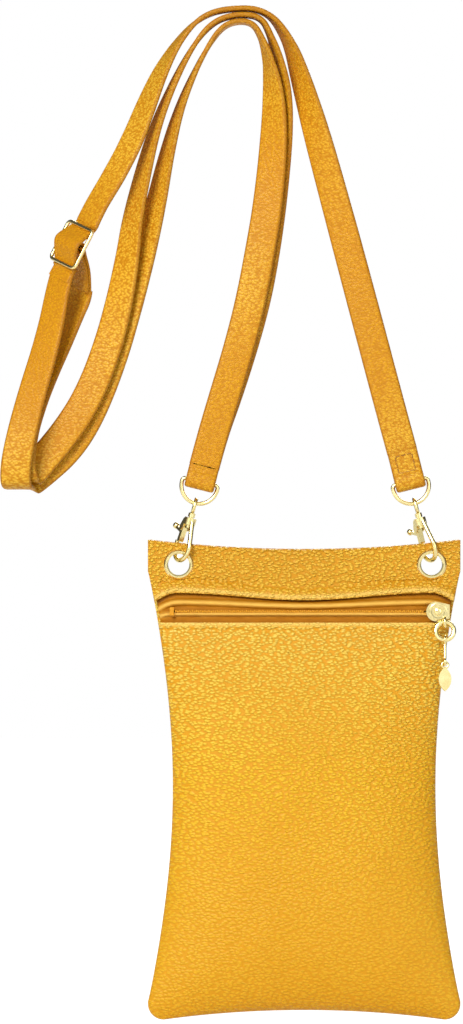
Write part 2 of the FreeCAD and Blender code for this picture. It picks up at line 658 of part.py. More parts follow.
def sections(points, width, thick, per_span, trims=(0.0, 0.0), across_way=None):
    """Rectangles across the strap along its route, stopped short by the trims at its two ends."""
    spans = len(points) - 2
    count = spans * per_span
    first = trims[0] / (2 * spans * (V(*points[1][:3]) - V(*points[0][:3])).Length)
    final = 1 - trims[1] / (2 * spans * (V(*points[-1][:3]) - V(*points[-2][:3])).Length)
    wires = []
    length = 0.0
    last = None
    for i in range(count + 1):
        t = first + (final - first) * i / count
        x, y, z, turn = route_point(points, t)
        centre = V(x, y, z)
        before = route_point(points, max(0.0, t - 1e-4))
        after = route_point(points, min(1.0, t + 1e-4))
        along = V(*after[:3]) - V(*before[:3])
        along.normalize()
        angle = math.radians(turn)
        across = square_to(across_way or V(math.sin(angle), -math.cos(angle), 0), along)
        facing = along.cross(across)
        if last:
            length += (centre - last).Length
        last = centre
        w = across * (width / 2)
        n = facing * (thick / 2)
        corners = [centre + w + n, centre - w + n, centre - w - n, centre + w - n]
        wires.append(Part.makePolygon(corners + corners[:1]))
    return wires, length


def ribbon(name, points, thick=STRAP_THICK, per_span=4, trims=(0.0, 0.0), across_way=None):
    wires, length = sections(points, STRAP_WIDTH, thick, per_span, trims, across_way)
    nodes[name] = Part.makeLoft(wires, True, True)
    print(name, "length", round(length, 1))


def ring_fold(name, side, half_thick, height):
    """The strap's fold round the bar of a D-ring, as a drop-shaped section along the bar."""
    place, along, down = ring_place[side]
    hole = RING_WIRE + FOLD_CLEARANCE
    outer = hole + STRAP_THICK
    start = place(-FOLD_WIDTH / 2, 0)

    def spot(y, h):
        return start + V(0, y, 0) - down * h

    neck = outer + 1.5
    outline = Part.Wire([
        Part.Arc(spot(-outer, 0), spot(0, -outer), spot(outer, 0)).toShape(),
        Part.makeLine(spot(outer, 0), spot(half_thick, neck)),
        Part.makeLine(spot(half_thick, neck), spot(half_thick, height)),
        Part.makeLine(spot(half_thick, height), spot(-half_thick, height)),
        Part.makeLine(spot(-half_thick, height), spot(-half_thick, neck)),
        Part.makeLine(spot(-half_thick, neck), spot(-outer, 0)),
    ])
    eye = Part.makeCylinder(hole, FOLD_WIDTH, start, along)
    nodes[name] = Part.Face(outline).extrude(along * FOLD_WIDTH).cut(eye)


def above_ring(side, y, height):
    """A place on the strap's middle, a height above a ring's bar."""
    place, along, down = ring_place[side]
    spot = place(0, -height)
    return (spot.x, y, spot.z, 90)


ring_fold("strap_right_fold", "right", STRAP_THICK, RIGHT_TAB)
ring_fold("strap_left_fold", "left", STRAP_THICK + PLY_GAP / 2, LEFT_FOLD)

# Box stitching on the right end's tab: a square of thread lying on the front ply.
stitches = []
place, along, down = ring_place["right"]
tab_middle = RIGHT_TAB - 1.4 - STITCH_BOX / 2
stitch_steps = 3
for turn in range(4):
    for step in range(stitch_steps):
        shift = (step - 1) * STITCH_BOX / stitch_steps
        edge = STITCH_BOX / 2 if turn < 2 else -STITCH_BOX / 2
        a, h = (shift, edge) if turn % 2 else (edge, shift)
        run = along if turn % 2 else down
        middle = place(a, -tab_middle - h) + V(0, -STRAP_THICK, 0)
        thread = Part.makeCylinder(STITCH_THICK / 2, STITCH_LENGTH, middle - run * (STITCH_LENGTH / 2), run)
        stitches.append(thread.cut(nodes["strap_right_fold"]))
nodes["right_end_stitching"] = Part.makeCompound(stitches)


# Slide buckle: a frame of round bar with a centre bar, its strap folded and sewn round that bar.
# Local axes: w along the bars, n towards the front, u up the strap.
lean = math.radians(BUCKLE_LEAN)
buckle_up = V(math.sin(lean), 0, math.cos(lean))
buckle_turn = math.radians(BUCKLE_TURN)
bar_way = square_to(V(math.sin(buckle_turn), -math.cos(buckle_turn), 0), buckle_up)
buckle_front = bar_way.cross(buckle_up)
buckle_axes = (bar_way, buckle_front, buckle_up)
buckle_place = V(BUCKLE_X, BUCKLE_Y, BUCKLE_Z)


def at_buckle(w, n, u):
    return frame_point(buckle_place, buckle_axes, w, n, u)


half_frame = BUCKLE_WIDTH / 2
corner = 1.6
cut = corner * (1 - math.sqrt(0.5))
frame_edges = []
for w_sign, u_sign in ((1, 1), (1, -1), (-1, -1), (-1, 1)):
    into = at_buckle(w_sign * (half_frame - corner), 0, u_sign * BUCKLE_PITCH)
    middle = at_buckle(w_sign * (half_frame - cut), 0, u_sign * (BUCKLE_PITCH - cut))
    out_of = at_buckle(w_sign * half_frame, 0, u_sign * (BUCKLE_PITCH - corner))
    if w_sign * u_sign < 0:
        into, out_of = out_of, into
    frame_edges.append((into, middle, out_of))
frame_path = []
for i, (into, middle, out_of) in enumerate(frame_edges):
    frame_path.append(Part.Arc(into, middle, out_of).toShape())
    frame_path.append(Part.makeLine(out_of, frame_edges[(i + 1) % 4][0]))
frame_wire = Part.Wire(frame_path)
first_place = frame_edges[0][0]
frame_section = Part.Wire(Part.makeCircle(BUCKLE_BAR, first_place, bar_way))
nodes["buckle_frame"] = frame_wire.makePipeShell([frame_section], True, False)
centre_bar = Part.makeCylinder(BUCKLE_BAR, BUCKLE_WIDTH, at_buckle(-half_frame, 0, 0), bar_way)
nodes["buckle_bar"] = centre_bar.cut(nodes["buckle_frame"])


def buckle_route(places):
    """Route points from n, u pairs at the buckle, all at the buckle's own turn."""
    return [tuple(at_buckle(0, n, u)) + (BUCKLE_TURN,) for n, u in places]


pass_back = -2.2
pass_places = [
    (pass_back, PASS_REACH), (pass_back - 0.1, 11.0), (pass_back - 0.3, 8.8), (1.6, 3.2),
    (3.4, 0), (1.6, -3.2), (pass_back - 0.3, -8.8), (pass_back - 0.1, -11.0), (pass_back, -PASS_REACH),
]
pass_route = buckle_route(pass_places)
ribbon("strap_buckle_pass", pass_route, PASS_THICK, per_span=3, across_way=bar_way)
fold_hole = BUCKLE_BAR + BAR_CLEARANCE
fold_outer = fold_hole + FOLD_PLY
fold_route = buckle_route([(-1.0, -0.5), (-4.0, -2.0), (-8.0, -5.0), (-11.5, -8.5), (-14.9, -13.2)])
fold_wires, fold_length = sections(fold_route, FOLD_WIDTH, 2 * FOLD_PLY, 3, across_way=bar_way)
fold_ring = Part.makeCylinder(fold_outer, FOLD_WIDTH, at_buckle(-FOLD_WIDTH / 2, 0, 0), bar_way)
fold_bore = Part.makeCylinder(fold_hole, BUCKLE_WIDTH, at_buckle(-half_frame, 0, 0), bar_way)
fold_tail = Part.makeLoft(fold_wires, True, True)
nodes["strap_buckle_fold"] = fold_ring.fuse(fold_tail).cut(fold_bore)

ply = (STRAP_THICK + PLY_GAP) / 2
right_end = above_ring("right", STRAP_THICK / 2, RIGHT_TAB)
front_end = above_ring("left", -ply, LEFT_FOLD)
rear_end = above_ring("left", ply, LEFT_FOLD)
ribbon("strap_right_run", [right_end] + RIGHT_RUN + pass_route[:1], trims=(0.0, END_GAP))
loop_lead = buckle_route([(pass_back, -PASS_REACH), (pass_back, -PASS_REACH - LOOP_LEAD)])
ribbon("strap_outer_loop", loop_lead + OUTER_LOOP + [front_end], trims=(END_GAP, 0.0))
ribbon("strap_inner_loop", [rear_end] + INNER_LOOP + fold_route[-1:], trims=(0.0, END_GAP))

os.makedirs("parts", exist_ok=True)
for name, shape in nodes.items():
    shape.exportStep("parts/" + name + ".step")
    print(name, shape.ShapeType, len(shape.Solids), shape.isValid(), round(shape.Volume, 1))
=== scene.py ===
import bmesh
import bpy
import math
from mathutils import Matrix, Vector, noise


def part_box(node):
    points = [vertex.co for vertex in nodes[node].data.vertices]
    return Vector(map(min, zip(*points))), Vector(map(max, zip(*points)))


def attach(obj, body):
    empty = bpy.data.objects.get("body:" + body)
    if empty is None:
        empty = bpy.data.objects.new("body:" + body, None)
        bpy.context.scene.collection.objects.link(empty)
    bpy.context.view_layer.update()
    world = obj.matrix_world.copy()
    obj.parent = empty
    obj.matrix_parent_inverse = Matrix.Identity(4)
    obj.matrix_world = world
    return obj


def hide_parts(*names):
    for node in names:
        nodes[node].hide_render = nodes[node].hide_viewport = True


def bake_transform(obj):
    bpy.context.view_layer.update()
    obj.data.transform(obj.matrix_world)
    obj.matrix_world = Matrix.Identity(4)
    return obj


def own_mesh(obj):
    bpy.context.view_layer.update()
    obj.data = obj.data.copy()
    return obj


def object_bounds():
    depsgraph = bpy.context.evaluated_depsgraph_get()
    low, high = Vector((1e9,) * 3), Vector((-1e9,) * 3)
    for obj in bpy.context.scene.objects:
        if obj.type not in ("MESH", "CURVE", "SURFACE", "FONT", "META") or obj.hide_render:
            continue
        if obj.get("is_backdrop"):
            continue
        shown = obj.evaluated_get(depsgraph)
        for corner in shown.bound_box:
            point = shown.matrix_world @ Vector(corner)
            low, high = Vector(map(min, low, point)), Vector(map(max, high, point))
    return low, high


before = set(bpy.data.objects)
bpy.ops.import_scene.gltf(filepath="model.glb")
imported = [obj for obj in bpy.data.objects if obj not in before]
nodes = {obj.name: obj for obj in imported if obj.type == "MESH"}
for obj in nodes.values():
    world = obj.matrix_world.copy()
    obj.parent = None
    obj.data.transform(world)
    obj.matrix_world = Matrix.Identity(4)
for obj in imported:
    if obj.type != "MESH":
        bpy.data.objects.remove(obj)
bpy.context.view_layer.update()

# Camera: level with the middle of the hanging pouch and square to its zip side,
# with a long lens, so that the strap and the pouch fill the frame.
image_height = 1024
metres_per_pixel = 0.386e-3
camera_distance = 2.4
film_width = 36.0
view_x = -0.00483
view_z = -0.18837
camera_data = bpy.data.cameras.new("camera")
camera_data.sensor_width = film_width
camera_data.lens = film_width * camera_distance / (image_height * metres_per_pixel)
camera = bpy.data.objects.new("camera", camera_data)
camera.location = (view_x, -camera_distance, view_z)
camera.rotation_euler = (math.pi / 2, 0, 0)
bpy.context.scene.collection.objects.link(camera)
bpy.context.scene.camera = camera

# Strap: one long strip of mustard leather, folded to two plies with turned edges.
# It leaves the sewn end on the right ring, goes over the top, through the slide buckle,
# down to a long loop and back over the top to the left ring, and then returns to the buckle.
strap_width = 0.0118
strap_thick = 0.0018
# How dark the turned edges are coloured: edge paint and painted shade.
edge_shade = 0.55
give_length = 0.0419
buckle_place = Vector((-0.0664, -0.0040, -0.0853))
buckle_lean = math.radians(27)
buckle_turn = 50
buckle_up = Vector((math.sin(buckle_lean), 0, math.cos(buckle_lean)))
bar_way = Vector((math.sin(math.radians(buckle_turn)), -math.cos(math.radians(buckle_turn)), 0))
bar_way = (bar_way - buckle_up * bar_way.dot(buckle_up)).normalized()
buckle_front = bar_way.cross(buckle_up)


def at_buckle(proud, rise):
    """A route's point in front of the middle of the buckle's centre bar by proud, and above it by rise."""
    spot = buckle_place + buckle_front * proud + buckle_up * rise
    return (spot.x, spot.y, spot.z, buckle_turn)


right_run = [
    (0.061078, 0.0009, -0.16506, 90),
    (0.0567, 0.001, -0.149, 90),
    (0.0471, 0.0012, -0.1127, 84),
    (0.0374, 0.0012, -0.0764, 74),
    (0.0286, 0.001, -0.044, 60),
    (0.0224, 0.0006, -0.0224, 40),
    (0.0174, 0.0002, -0.0062, 18),
    (0.0085, 0, 0.0059, 2),
    (-0.0077, 0, 0.0059, 0),
    (-0.0174, 0, 0.0023, 4),
    (-0.0255, 0, -0.0066, 15),
    (-0.0324, -0.0005, -0.0185, 30),
    (-0.0378, -0.0012, -0.0317, 42),
    (-0.0432, -0.002, -0.0455, 50),
    (-0.05, -0.0024, -0.0585, 52),
    (-0.0564, -0.0024, -0.069, 50),
    at_buckle(-0.0022, 0.0140),
    at_buckle(-0.0023, 0.0110),
    at_buckle(-0.00245, 0.00935),
    at_buckle(-0.00196, 0.008375),
]
outer_loop = [
    at_buckle(-0.00196, -0.008375),
    at_buckle(-0.00245, -0.00935),
    at_buckle(-0.0023, -0.0110),
    (-0.072, -0.0026, -0.1035, 51),
    (-0.0739, -0.004, -0.1145, 56),
    (-0.0769, -0.0053, -0.127, 62),
    (-0.0812, -0.0063, -0.1413, 68),
    (-0.0857, -0.0072, -0.1583, 76),
    (-0.088, -0.0074, -0.1706, 84),
    (-0.088, -0.0064, -0.1783, 88),
    (-0.0857, 0.005, -0.1791, 90),
    (-0.079, 0.0062, -0.174, 88),
    (-0.0675, 0.0062, -0.1638, 86),
    (-0.059, 0.0059, -0.15, 82),
    (-0.0506, 0.0055, -0.1286, 78),
    (-0.0443, 0.005, -0.107, 70),
    (-0.0389, 0.0044, -0.088, 56),
    (-0.034, 0.0032, -0.0695, 40),
    (-0.0301, 0.002, -0.051, 27),
    (-0.0251, 0.001, -0.0324, 15),
    (-0.0181, 0.0003, -0.0162, 5),
    (-0.0108, 0, -0.0035, 0),
    (-0.005, 0, 0.0009, 0),
    (0.0031, 0, 0.0009, 0),
    (0.0069, 0, -0.0054, 4),
    (0.0097, -0.0002, -0.0147, 18),
    (0.0116, -0.0006, -0.0278, 42),
    (0.0116, -0.001, -0.0455, 62),
    (0.0093, -0.0012, -0.0695, 76),
    (0.0062, -0.00125, -0.088, 82),
    (0.0027, -0.00125, -0.1065, 86),
    (-0.002, -0.00125, -0.1251, 88),
    (-0.0076, -0.00125, -0.1436, 90),
    (-0.0124, -0.00125, -0.1598, 90),
    (-0.01533, -0.00125, -0.17088, 90),
]
inner_loop = [
    (-0.01533, 0.00125, -0.17088, 90),
    (-0.0122, 0.0013, -0.159, 90),
    (-0.0066, 0.0015, -0.1436, 90),
    (-0.0006, 0.0017, -0.1251, 88),
    (0.0046, 0.0018, -0.1065, 86),
    (0.0081, 0.0019, -0.088, 82),
    (0.0108, 0.0019, -0.0695, 76),
    (0.0135, 0.0018, -0.0455, 62),
    (0.0147, 0.0014, -0.0286, 42),
    (0.0135, 0.0007, -0.0154, 20),
    (0.0104, 0.0001, -0.0046, 5),
    (0.0062, 0, 0.0034, 0),
    (-0.0058, 0, 0.0034, 0),
    (-0.0139, 0, -0.0008, 0),
    (-0.0212, 0, -0.0108, 5),
    (-0.0286, 0.0002, -0.0255, 12),
    (-0.0344, 0.0006, -0.0401, 20),
    (-0.039, 0.0012, -0.0571, 30),
    (-0.0432, 0.0018, -0.0757, 40),
    (-0.0448, 0.0022, -0.089, 50),
    (-0.0478, 0.0024, -0.106, 63),
    (-0.0527, 0.0025, -0.125, 74),
    (-0.0599, 0.0025, -0.1434, 80),
    (-0.068, 0.0024, -0.1564, 84),
    (-0.0769, 0.0024, -0.1672, 86),
    (-0.0836, 0.0022, -0.1754, 88),
    (-0.0854, -0.0034, -0.176, 88),
    (-0.0864, -0.004, -0.1686, 85),
    (-0.085, -0.0034, -0.1575, 80),
    (-0.0814, -0.0017, -0.1458, 74),
    (-0.0768, 0.001, -0.1346, 68),
    (-0.0721, 0.004, -0.1246, 62),
    (-0.0672, 0.0068, -0.1134, 56),
    (-0.0636, 0.0082, -0.1056, 52),
    at_buckle(-0.0149, -0.0132),
]


def new_finish(name):
    """A new material with its node tree, its shader and the piece's own coordinates."""
    finish = bpy.data.materials.new(name)
    finish.use_nodes = True
    tree = finish.node_tree
    coords = tree.nodes.new("ShaderNodeTexCoord").outputs["Object"]
    return finish, tree, tree.nodes["Principled BSDF"], coords


def feed(tree, socket, value):
    """Set a socket to a plain value, or link it to another node's output."""
    if isinstance(value, bpy.types.NodeSocket):
        tree.links.new(value, socket)
    else:
        socket.default_value = value


def cloud(tree, coords, scale, detail=2.0):
    """Soft noise as a node with a Fac and a Color output."""
    node = tree.nodes.new("ShaderNodeTexNoise")
    node.inputs["Scale"].default_value = scale
    node.inputs["Detail"].default_value = detail
    tree.links.new(coords, node.inputs["Vector"])
    return node


def one_way(tree, vector, axis):
    """One coordinate of a vector."""
    node = tree.nodes.new("ShaderNodeSeparateXYZ")
    tree.links.new(vector, node.inputs["Vector"])
    return node.outputs[axis]


def own_share(tree, name):
    """A share from 0 to 1 that the mesh carries at each of its points."""
    node = tree.nodes.new("ShaderNodeAttribute")
    node.attribute_name = name
    return node.outputs["Fac"]


def between(tree, value, start, stop, low=0.0, high=1.0, curve="LINEAR"):
    """Go from low to high while the value goes from start to stop."""
    node = tree.nodes.new("ShaderNodeMapRange")
    node.interpolation_type = curve
    feed(tree, node.inputs["Value"], value)
    feed(tree, node.inputs["From Min"], start)
    feed(tree, node.inputs["From Max"], stop)
    feed(tree, node.inputs["To Min"], low)
    feed(tree, node.inputs["To Max"], high)
    return node.outputs["Result"]


def reckon(tree, operation, *terms):
    """The result of one sum or product of terms."""
    node = tree.nodes.new("ShaderNodeMath")
    node.operation = operation
    for number, term in enumerate(terms):
        feed(tree, node.inputs[number], term)
    return node.outputs["Value"]


def tint(tree, share, ground, colour):
    """The ground's colour, taken towards another colour by a share."""
    node = tree.nodes.new("ShaderNodeMix")
    node.data_type = "RGBA"
    feed(tree, node.inputs["Factor"], share)
    feed(tree, node.inputs["A"], ground)
    feed(tree, node.inputs["B"], colour)
    return node.outputs["Result"]


def colour_run(tree, share, *stops):
    """A run of colours along a share. Each stop is a place from 0 to 1 and the colour there."""
    node = tree.nodes.new("ShaderNodeValToRGB")
    run = node.color_ramp.elements
    run.remove(run[1])
    run[0].position, run[0].color = stops[0]
    for place, colour in stops[1:]:
        run.new(place).color = colour
    tree.links.new(share, node.inputs["Fac"])
    return node.outputs["Color"]


def grained_leather(name, grain, panel, pale, body, deep, relief, rough, painted_highlight):
    """Pebbled leather: rounded cells in slanting rows, darker creases between them, broad shifts of tone.

    On a panel the grain lies across and up the pouch, and towards the foot its tops are flatter and darker.
    The last share is a painted sheen highlight on the grain's tops: on a panel near the zip, on the strap in
    broad patches.
    """
    dark_edge_paint_and_shade = (0.30, 0.105, 0.002, 1)
    painted_hem_highlight = (0.86, 0.58, 0.13, 1)
    leather, tree, shader, coords = new_finish(name)
    rows = tree.nodes.new("ShaderNodeMapping")
    rows.inputs["Rotation"].default_value = (0, math.radians(32), 0)
    rows.inputs["Scale"].default_value = (0.72, 1.0, 1.15)
    tree.links.new(coords, rows.inputs["Vector"])
    slant = rows.outputs["Vector"]
    push = tree.nodes.new("ShaderNodeVectorMath")
    push.operation = "MULTIPLY_ADD"
    push.inputs[1].default_value = (grain, grain, grain)
    tree.links.new(cloud(tree, slant, 0.5 / grain).outputs["Color"], push.inputs[0])
    tree.links.new(slant, push.inputs[2])
    warped = push.outputs[0]
    cells = tree.nodes.new("ShaderNodeTexVoronoi")
    cells.inputs["Scale"].default_value = 1 / grain
    cells.inputs["Randomness"].default_value = 0.85
    if panel:
        flat_grain_from = -0.24
        flat_grain_to = -0.35
        # A painted sheen highlight lies on the grain's tops at the top of the panel.
        highlight_start = -0.215
        highlight_stop = -0.29
        crease_end = 0.62
        painted_highlight_colour = (0.86, 0.68, 0.24, 1)
        sheen = 0.3
        cells.voronoi_dimensions = "2D"
        lay = tree.nodes.new("ShaderNodeCombineXYZ")
        tree.links.new(one_way(tree, warped, "X"), lay.inputs["X"])
        tree.links.new(one_way(tree, warped, "Z"), lay.inputs["Y"])
        tree.links.new(lay.outputs["Vector"], cells.inputs["Vector"])
        height = one_way(tree, coords, "Z")
        crease_level = between(tree, height, flat_grain_from, flat_grain_to, 0.0, 0.08)
        top_level = between(tree, height, flat_grain_from, flat_grain_to, 1.0, 0.45)
        painted_highlight_share = between(tree, height, highlight_start, highlight_stop, painted_highlight, 0.0)
    else:
        crease_end = 0.78
        painted_highlight_colour = (0.84, 0.57, 0.06, 1)
        sheen = 0.22
        tree.links.new(warped, cells.inputs["Vector"])
        crease_level = 0.0
        top_level = 1.0
        # On the strap a painted sheen highlight lies on the grain's tops in broad patches of noise.
        highlight_patches = cloud(tree, coords, 16.0, 0.0).outputs["Fac"]
        painted_highlight_share = between(tree, highlight_patches, 0.66, 0.45, painted_highlight, 0.0)
    pebble = between(tree, cells.outputs["Distance"], crease_end, 0.12, crease_level, top_level, "SMOOTHSTEP")
    speck = cloud(tree, slant, 1.4 / grain, 1.0).outputs["Fac"]
    tone = cloud(tree, coords, 30.0).outputs["Fac"]
    wash = colour_run(tree, reckon(tree, "MULTIPLY_ADD", speck, 0.55, tone), (0.5, body), (1.0, pale))
    colour = tint(tree, pebble, deep, wash)
    # Painted sheen highlight: the grain's tops are taken towards cream.
    colour = tint(tree, reckon(tree, "MULTIPLY", painted_highlight_share, pebble), colour, painted_highlight_colour)
    # Dark turned edges: partly edge paint, partly painted shade on their rounding.
    colour = tint(tree, own_share(tree, "edge"), colour, dark_edge_paint_and_shade)
    # Painted highlight along the crest of each rolled hem.
    colour = tint(tree, own_share(tree, "hem"), colour, painted_hem_highlight)
    tree.links.new(colour, shader.inputs["Base Color"])
    bump = tree.nodes.new("ShaderNodeBump")
    bump.inputs["Strength"].default_value = relief
    bump.inputs["Distance"].default_value = grain * 0.35
    tree.links.new(pebble, bump.inputs["Height"])
    tree.links.new(bump.outputs["Normal"], shader.inputs["Normal"])
    tree.links.new(between(tree, pebble, 0.0, 1.0, rough + 0.2, rough), shader.inputs["Roughness"])
    shader.inputs["Specular IOR Level"].default_value = sheen
    return leather


strap_leather = grained_leather("strap_leather", grain=0.0010, panel=False, pale=(0.62, 0.295, 0.004, 1),
                                body=(0.53, 0.225, 0.0015, 1), deep=(0.47, 0.185, 0.001, 1),
                                relief=0.3, rough=0.36, painted_highlight=0.42)


def strap_section(width, thick):
    """The strap's outline across its width: two slightly crowned faces joined by round turned edges."""
    radius = thick / 2
    flat = width / 2 - radius
    crown = radius * 1.06
    points = []
    for side in (1, -1):
        for turn in range(-90, 91, 30):
            angle = math.radians(turn)
            points.append((side * (flat + radius * math.cos(angle)), side * radius * math.sin(angle)))
        for step in (0.93, 0.6, 0.2, -0.2, -0.6, -0.93):
            points.append((side * flat * step, side * crown))
    return points


def strap_line(route, across_way=None):
    """The smooth line of a route as places with their ways across and out of the strap.

    The strap is turned as the route's last value says, or set across one way.
    """
    curve = bpy.data.curves.new("strap_line", "CURVE")
    curve.dimensions = "3D"
    curve.resolution_u = 12
    spline = curve.splines.new("NURBS")
    spline.points.add(len(route) - 1)
    for point, (x, y, z, turn) in zip(spline.points, route):
        point.co = (x, y, z, 1)
    spline.order_u = 3
    spline.use_endpoint_u = True
    carrier = bpy.data.objects.new("strap_line", curve)
    bpy.context.scene.collection.objects.link(carrier)
    bpy.context.view_layer.update()
    traced = bpy.data.meshes.new_from_object(carrier)
    path = [vert.co.copy() for vert in traced.vertices]
    bpy.data.objects.remove(carrier)
    bpy.data.meshes.remove(traced)
    turns = [turn for x, y, z, turn in route]
    spans = len(route) - 2
    stations = [0.0] + [span + 0.5 for span in range(spans)] + [float(spans)]
    line = []
    for i, centre in enumerate(path):
        share = spans * i / (len(path) - 1)
        k = 0
        while k < len(stations) - 2 and stations[k + 1] < share:
            k += 1
        part = (share - stations[k]) / (stations[k + 1] - stations[k])
        angle = math.radians(turns[k] + (turns[k + 1] - turns[k]) * part)
        along = (path[min(i + 1, len(path) - 1)] - path[max(i - 1, 0)]).normalized()
        across = across_way or Vector((math.sin(angle), -math.cos(angle), 0))
        across = (across - along * across.dot(along)).normalized()
        line.append((centre, across, along.cross(across)))
    return line


def line_length(line):
    """The length along a line's places."""
    return sum((b[0] - a[0]).length for a, b in zip(line, line[1:]))


def strap_piece(name, line, width, thick, swell=0.0):
    """A flat strip along a line. swell is the share by which it is wider at the middle of its length."""
    section = strap_section(width, thick)
    count = len(section)
    verts = []
    for i, (centre, across, facing) in enumerate(line):
        spread = 1 + swell * math.sin(math.pi * i / (len(line) - 1)) ** 4
        for w, n in section:
            verts.append(centre + across * (w * spread) + facing * n)
    faces = [tuple(range(count - 1, -1, -1)), tuple(range(len(verts) - count, len(verts)))]
    for i in range(len(line) - 1):
        for j in range(count):
            a = i * count + j
            b = i * count + (j + 1) % count
            faces.append((a, b, b + count, a + count))
    mesh = bpy.data.meshes.new(name)
    mesh.from_pydata(verts, [], faces)
    # The turned edges get a share of dark colour: edge paint and painted shade.
    turned_edge = width / 2 - thick * 0.3
    shades = [edge_shade if abs(w) > turned_edge else 0.0 for w, n in section]
    mesh.attributes.new("edge", "FLOAT", "POINT").data.foreach_set("value", shades * len(line))
    piece = bpy.data.objects.new(name, mesh)
    bpy.context.scene.collection.objects.link(piece)
    bm = bmesh.new()
    bm.from_mesh(mesh)
    bmesh.ops.recalc_face_normals(bm, faces=bm.faces)
    bm.to_mesh(mesh)
    bm.free()
    mesh.shade_smooth()
    cut_edges = set()
    for cap in mesh.polygons[:2]:
        cap.use_smooth = False
        cut_edges.update(cap.edge_keys)
    for edge in mesh.edges:
        edge.use_edge_sharp = edge.key in cut_edges
    mesh.materials.append(strap_leather)
    return piece


for name, route, node, from_buckle in (("strap_right", right_run, "strap_right_run", False),
                                       ("strap_outer", outer_loop, "strap_outer_loop", True),
                                       ("strap_inner", inner_loop, "strap_inner_loop", False)):
    line = strap_line(route)
    if from_buckle:
        line.reverse()
    cut = len(line) - 1
    while line_length(line[cut:]) < give_length:
        cut -= 1
    piece = strap_piece(name, line[:cut + 1], strap_width, strap_thick)
    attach(piece, "strap")
    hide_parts(node)
    end_piece = strap_piece(name + "_end", line[cut:], strap_width, strap_thick)
    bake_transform(end_piece)

# Strap at the slide buckle: the strap weaves under, over and under the buckle's bars,
# and its thinned inner end is folded round the centre bar and lies double behind it.
weave_thick = 0.0015
weave_swell = 0.16
tail_width = 0.0112
tail_thick = 0.0011
buckle_pass = [at_buckle(proud, rise) for proud, rise in (
    (-0.0022, 0.0140), (-0.0023, 0.0110), (-0.0025, 0.0088), (0.0016, 0.0032), (0.0034, 0),
    (0.0016, -0.0032), (-0.0025, -0.0088), (-0.0023, -0.0110), (-0.0022, -0.0140))]
buckle_fold = [at_buckle(proud, rise) for proud, rise in (
    (-0.0154, -0.01285), (-0.0120, -0.00815), (-0.0084, -0.00455), (-0.0043, -0.0015), (-0.0020, 0.0006),
    (-0.0013, 0.0020), (0.0013, 0.0020), (0.0020, -0.0004), (0.0006, -0.0019), (-0.0037, -0.0025),
    (-0.0076, -0.00545), (-0.0110, -0.00885), (-0.0144, -0.01355))]
piece = strap_piece("strap_in_buckle", strap_line(buckle_pass, bar_way), strap_width, weave_thick,
                    weave_swell)
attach(piece, "buckle")
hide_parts("strap_buckle_pass")
piece = strap_piece("strap_sewn_tail", strap_line(buckle_fold, bar_way), tail_width, tail_thick)
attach(piece, "buckle")
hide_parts("strap_buckle_fold")

# Folds round the D-rings: the strap is turned round each ring's bar and closed above it.
# On the left both plies run on into the loops. On the right the front ply is a short tab,
# cut off and sewn down.
fold_width = 0.0116
ring_tilt = math.radians(14)
turn_radius = 0.0022
turn_height = 0.0020
neck_height = 0.0036
closed_height = 0.0060
for name, node, bar, lean, ply, reach in (
        ("strap_left_turn", "strap_left_fold", (-0.016781, 0, -0.1767), ring_tilt, 0.00125, 0.0064),
        ("strap_right_turn", "strap_right_fold", (0.063981, 0, -0.1767), -ring_tilt, 0.0008, 0.0121)):
    up_strap = Vector((math.sin(lean), 0, math.cos(lean)))
    across_strap = Vector((up_strap.z, 0, -up_strap.x))
    half_turn = [(ply, reach), (ply, closed_height), (ply, neck_height), (turn_radius, turn_height),
                 (turn_radius, -turn_radius)]
    turn_route = []
    for y, height in [(-y, height) for y, height in half_turn] + half_turn[::-1]:
        spot = Vector(bar) + up_strap * height
        turn_route.append((spot.x, y, spot.z, 90))
    piece = strap_piece(name, strap_line(turn_route, across_strap), fold_width, strap_thick)
    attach(piece, "strap")
    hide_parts(node)

# Stitches: waxed thread, a shade darker than the leather, sewn in a square through the right tab.
# They hold the strap's end closed round the right ring's bar.
thread_dark = (0.20, 0.07, 0.003, 1)
thread_light = (0.42, 0.17, 0.008, 1)


def speckled_finish(name, scale, dark, light, rough, duller=0.0, detail=2.0, metallic=0.0, sheen=0.5):
    """A finish that drifts between two tones. duller is how much rougher it is where the light tone is."""
    finish, tree, shader, coords = new_finish(name)
    drift = cloud(tree, coords, scale, detail).outputs["Fac"]
    tree.links.new(colour_run(tree, drift, (0.0, dark), (1.0, light)), shader.inputs["Base Color"])
    if duller:
        tree.links.new(between(tree, drift, 0.0, 1.0, rough, rough + duller), shader.inputs["Roughness"])
    else:
        shader.inputs["Roughness"].default_value = rough
    shader.inputs["Metallic"].default_value = metallic
    shader.inputs["Specular IOR Level"].default_value = sheen
    return finish


def dress(names, finish):
    """Give one finish to solids that keep their own mesh."""
    for name in names:
        nodes[name].data.materials.clear()
        nodes[name].data.materials.append(finish)


thread = speckled_finish("waxed_thread", 3000.0, thread_dark, thread_light, rough=0.6)
dress(["right_end_stitching"], thread)

# Slide buckle, rings, clasps, eyelets and zip pull: pale gold plate over cast and bent metal.
# The plating is bright, with a slightly duller skin in patches.
gold_dark = (0.88, 0.70, 0.26, 1)
gold_light = (0.97, 0.86, 0.46, 1)
gold_plate = speckled_finish("pale_gold_plate", 350.0, gold_dark, gold_light, rough=0.12, duller=0.16,
                             detail=4.0, metallic=1.0)
dress(["buckle_frame", "buckle_bar", "zip_slider", "pull_ring", "pull_link", "leaf_drop"], gold_plate)
for side in ("left", "right"):
    dress([name + "_" + side for name in ("d_ring", "swivel_eye", "clasp_hook", "clasp_gate", "gate_pin",
                                          "eyelet", "eyelet_washer")], gold_plate)

